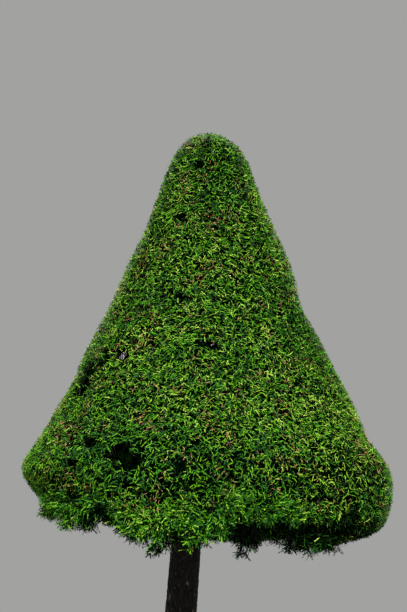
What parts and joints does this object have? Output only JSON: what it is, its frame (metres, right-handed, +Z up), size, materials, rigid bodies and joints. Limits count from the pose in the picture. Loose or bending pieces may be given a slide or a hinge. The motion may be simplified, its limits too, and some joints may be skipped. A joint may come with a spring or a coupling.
{
  "type": "potted tamarind topiary",
  "caption": "Tamarind tree clipped to a tall round-topped cone of small drooping leaves, on a bare leaning trunk with a root flare, standing in a plain round terracotta pot of soil.",
  "frame": {"origin": "centre of the pot's flat underside", "axes": "+Z up the tree, +X to the right and -Y towards the viewer in the picture"},
  "size_m": [2.9964, 3.0018, 5.6052],
  "materials": {
    "terracotta": "matte unglazed",
    "soil": "crumbly",
    "bark": "fissured bark",
    "foliage": "thin waxy leaf"
  },
  "bodies": {
    "root": {"pot": "terracotta", "soil": "soil", "trunk": "bark", "bough_upper_left": "bark", "bough_upper_right": "bark", "bough_upper_back": "bark", "bough_middle_left": "bark", "bough_middle_front": "bark", "bough_middle_right": "bark", "bough_middle_back": "bark", "bough_skirt_left": "bark", "bough_skirt_front": "bark", "bough_skirt_right": "bark", "bough_skirt_back_right": "bark", "bough_skirt_back": "bark", "bough_skirt_back_left": "bark", "foliage_top": "foliage", "foliage_upper_left": "foliage", "foliage_upper_right": "foliage", "foliage_upper_back": "foliage", "foliage_middle_left": "foliage", "foliage_middle_front": "foliage", "foliage_middle_right": "foliage", "foliage_middle_back": "foliage", "foliage_skirt_left": "foliage", "foliage_skirt_front": "foliage", "foliage_skirt_right": "foliage", "foliage_skirt_back_right": "foliage", "foliage_skirt_back": "foliage", "foliage_skirt_back_left": "foliage"}
  },
  "joints": []
}
